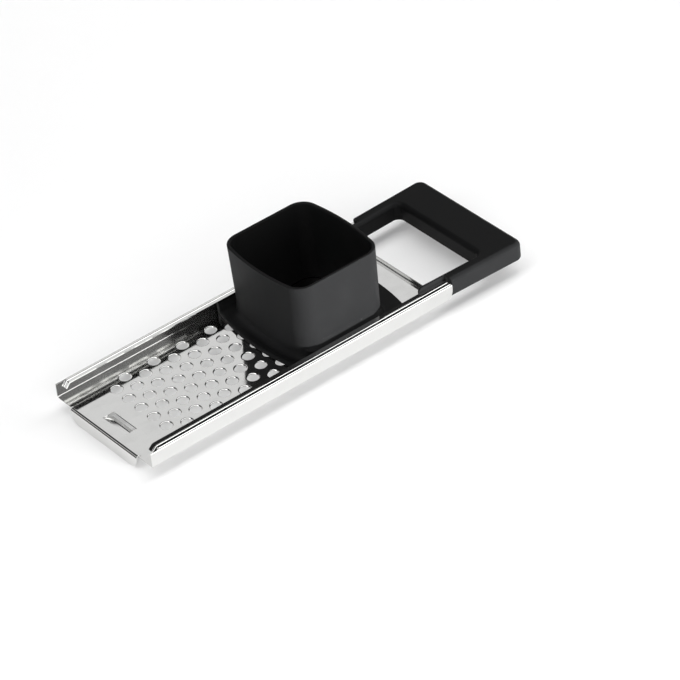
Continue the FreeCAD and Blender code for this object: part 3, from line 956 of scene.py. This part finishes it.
# -------- plastic pieces
def on_sled_front(edge):
    """Whether an edge runs along the upper front edge of the sled, between the rails."""
    rises = [corner.co - HOPPER_LOW for corner in edge.verts]
    return all(rise.x < SLED_BOW and abs(rise.z - SLED_STEP) < SLED_SLACK for rise in rises)


def moulding(name, bm):
    """A piece whose large faces stay flat and whose rounded edges blend."""
    piece = new_piece(name, bm)
    smooth(piece.data, PLASTIC_CRISP)
    normals = piece.modifiers.new("Even Shading", "WEIGHTED_NORMAL")
    normals.keep_sharp = True
    normals.weight = 80
    bake_modifiers(piece)
    return piece


class DUMPLING_OT_hopper(BuildStep, bpy.types.Operator):
    """Moulds the hopper with its sled"""

    bl_idname = "dumpling.hopper"
    bl_label = "Hopper"

    def build(self, settings):
        looks = settings.finishes
        bm = welded_copy("hopper_sled")
        front = [edge for edge in sharp_edges(bm) if on_sled_front(edge)]
        break_edges(bm, front, settings.plastic.sled_edge, 4)
        break_edges(bm, sharp_edges(bm), settings.plastic.hopper_edge, 3)
        hopper = moulding("hopper", bm)
        finish = satin_plastic("Hopper Plastic", looks.hopper, looks.hopper_roughness,
                               looks.plastic_gloss)
        settle(hopper, finish, "slider", "hopper_plastic", "hopper_sled")


class DUMPLING_OT_handle(BuildStep, bpy.types.Operator):
    """Moulds the U-shaped handle"""

    bl_idname = "dumpling.handle"
    bl_label = "Handle"

    def build(self, settings):
        looks = settings.finishes
        bm = welded_copy("handle")
        break_edges(bm, sharp_edges(bm), settings.plastic.handle_edge, 2)
        handle = moulding("u_handle", bm)
        finish = satin_plastic("Handle Plastic", looks.handle, looks.handle_roughness,
                               looks.plastic_gloss)
        settle(handle, finish, "frame", "handle_plastic", "handle")


# -------- screws
def cross_outline(length, width):
    """Corners of a cross, turning left."""
    a = length / 2
    b = width / 2
    return [(a, -b), (a, b), (b, b), (b, a), (-b, a), (-b, b),
            (-a, b), (-a, -b), (-b, -b), (-b, -a), (b, -a), (b, -b)]


def screw_shape(sizes):
    """Countersunk screw with its head down at Z 0 and its tip up."""
    bm = bmesh.new()
    head = sizes.head / 2
    shank = sizes.shank / 2
    rim = circle(0.0, 0.0, head, SCREW_STEPS)
    cross = cross_outline(sizes.recess_length, sizes.recess_width)
    for face in cut_faces(rim, [cross], []):
        bm.faces.new([bm.verts.new(corner.to_3d()) for corner in reversed(face)])
    taper = 0.8
    lower = [bm.verts.new((x, y, 0.0)) for x, y in cross]
    upper = [bm.verts.new((x * taper, y * taper, sizes.recess_depth)) for x, y in cross]
    for index in range(len(cross)):
        bm.faces.new((lower[index - 1], upper[index - 1], upper[index], lower[index]))
    bm.faces.new(upper[::-1])
    tip = 0.0002
    point = 0.0018
    head_rim = 0.00008
    spin_profile(bm, [(head, 0.0), (head, head_rim), (shank, head - shank),
                      (shank, sizes.length - point), (shank / 2, sizes.length - tip),
                      (tip, sizes.length)], 0.0, 0.0, SCREW_STEPS)
    bmesh.ops.remove_doubles(bm, verts=bm.verts, dist=WELD)
    bmesh.ops.holes_fill(bm, edges=bm.edges, sides=SCREW_STEPS)
    bmesh.ops.recalc_face_normals(bm, faces=bm.faces)
    return bm


class DUMPLING_OT_screws(BuildStep, bpy.types.Operator):
    """Sets the two countersunk screws that hold the handle"""

    bl_idname = "dumpling.screws"
    bl_label = "Handle Screws"

    def build(self, settings):
        finish = bright_screw_steel(settings.finishes.screw)
        screw = new_piece("one_screw", screw_shape(settings.screws))
        screws = new_piece("handle_screws", bmesh.new())
        repeat(screws, screw_pair_tree(), {"Screw": screw, "Along": SCREW_X,
                                           "Aside": SCREW_Y, "Material": finish})
        bpy.data.objects.remove(screw)
        smooth(screws.data, SCREW_CRISP)
        settle(screws, finish, "frame", "screw_steel", "handle_screw_far",
               "handle_screw_near")


# -------- stage
# What the steel mirrors: parts of the wall along X, by the ray's own X, and bands about X,
# in degrees from +Y over the top, each with its start, end and blur.
WINDOW = (-0.55, -0.38, 0.03)
REAR_WALL = (0.21, 0.04)
BACK_BAND = (10.0, 45.2, 1.5)
TOP_BAND = (73.0, 108.0, 3.0)
NEAR_BAND = (131.0, 144.0, 3.0)
LOW_BAND = (144.0, 184.0, 3.0)
DIM = 0.02              # everywhere else
# Lamps for the plastic: place, aim, width and height.
SIDE_LAMP = ((0.5, -1.6, 0.025), (0.03, 0.0, 0.025), 1.0, 0.07)
FRONT_LAMP = ((-1.5, -0.4, 0.06), (0.03, 0.0, 0.03), 0.8, 0.12)
FLOOR_REACH = 6.0


def room_light(settings):
    """Room of long bands that run along the rails, with gaps in the one behind the tray."""
    world = bpy.data.worlds.new("Soft Studio")
    bpy.context.scene.world = world
    world.use_nodes = True
    recipe = Recipe(world.node_tree)
    ray = recipe.add("ShaderNodeTexCoord", output="Generated")
    x, y, z = recipe.add("ShaderNodeSeparateXYZ", inputs={"Vector": ray},
                         output=("X", "Y", "Z"))
    degrees = z.arctan2(y) * math.degrees(1.0)

    def rise(value, middle, blur):
        return recipe.add("ShaderNodeMapRange", {"interpolation_type": "SMOOTHSTEP"},
                          {"Value": value, "From Min": middle - blur,
                           "From Max": middle + blur})

    def band(value, start, end, blur):
        return rise(value, start, blur) - rise(value, end, blur)

    wall = rise(x, *REAR_WALL) + band(x, *WINDOW)
    light = band(degrees, *BACK_BAND) * (wall * settings.back_light)
    light = band(degrees, *TOP_BAND) * settings.top_light + light
    light = band(degrees, *NEAR_BAND) * settings.near_light + light
    light = band(degrees, *LOW_BAND) * settings.low_light + light
    glow = recipe.add("ShaderNodeBackground",
                      inputs={"Color": WHITE, "Strength": light + DIM})
    recipe.add("ShaderNodeOutputWorld", inputs={"Surface": glow})


def soft_lamp(name, place, aim, width, height, power):
    """Area lamp that lights matt surfaces and does not show in polished ones."""
    data = bpy.data.lights.new(name, "AREA")
    data.shape = "RECTANGLE"
    data.size = width
    data.size_y = height
    data.energy = power
    lamp = linked(name, data)
    lamp.location = place
    lamp.rotation_euler = (Vector(aim) - Vector(place)).to_track_quat("-Z", "Y").to_euler()
    lamp.visible_glossy = False
    lamp.visible_camera = False


def aim_camera(settings):
    data = bpy.data.cameras.new("Camera")
    data.sensor_width = 36.0
    data.lens = settings.lens
    data.clip_start = 0.05
    data.clip_end = 50.0
    camera = linked("Camera", data)
    forward = Vector(settings.camera_aim).normalized()
    level = forward.cross(Vector((0.0, 0.0, 1.0))).normalized()
    upright = level.cross(forward)
    roll = settings.camera_roll
    right = level * math.cos(roll) + upright * math.sin(roll)
    up = upright * math.cos(roll) - level * math.sin(roll)
    turn = Matrix((right, up, -forward)).transposed().to_4x4()
    camera.matrix_world = Matrix.Translation(settings.camera_place) @ turn
    bpy.context.scene.camera = camera


class DUMPLING_OT_stage(BuildStep, bpy.types.Operator):
    """Lays the floor, lights the tray and aims the camera"""

    bl_idname = "dumpling.stage"
    bl_label = "Stage"

    def build(self, settings):
        settings = settings.stage
        bm = bmesh.new()
        level = CAD_BOX[0][2]
        bm.faces.new([bm.verts.new((x * FLOOR_REACH, y * FLOOR_REACH, level))
                      for x, y in ((-1, -1), (1, -1), (1, 1), (-1, 1))])
        floor = new_piece("floor", bm)
        floor.data.materials.append(pale_floor(settings.floor))
        room_light(settings)
        soft_lamp("Side Lamp", *SIDE_LAMP, settings.side_power)
        soft_lamp("Front Lamp", *FRONT_LAMP, settings.front_power)
        aim_camera(settings)
        bpy.context.scene.view_settings.view_transform = "Standard"


class VIEW3D_PT_dumpling_maker(bpy.types.Panel):
    """Lists the pieces and their sizes"""

    bl_label = "Dumpling Maker"
    bl_space_type = "VIEW_3D"
    bl_region_type = "UI"
    bl_category = "Dumpling Maker"

    def draw(self, context):
        settings = context.scene.dumpling_maker
        for piece in PIECES:
            self.layout.operator(piece.bl_idname)
        for part in DumplingMaker.__annotations__:
            sizes = getattr(settings, part)
            column = self.layout.box().column()
            for name in sizes.__annotations__:
                column.prop(sizes, name)


PIECES = (DUMPLING_OT_tray, DUMPLING_OT_hopper, DUMPLING_OT_handle, DUMPLING_OT_screws,
          DUMPLING_OT_stage)
CLASSES = (TraySizes, HoleSizes, PlasticSizes, ScrewSizes, Finishes, StageSettings,
           DumplingMaker) + PIECES + (VIEW3D_PT_dumpling_maker,)


def register():
    for item in CLASSES:
        bpy.utils.register_class(item)
    bpy.types.Scene.dumpling_maker = group(DumplingMaker)


def unregister():
    del bpy.types.Scene.dumpling_maker
    for item in reversed(CLASSES):
        bpy.utils.unregister_class(item)


def main():
    register()
    bpy.ops.dumpling.tray()
    bpy.ops.dumpling.hopper()
    bpy.ops.dumpling.handle()
    bpy.ops.dumpling.screws()
    bpy.ops.dumpling.stage()


if __name__ == "__main__":
    main()
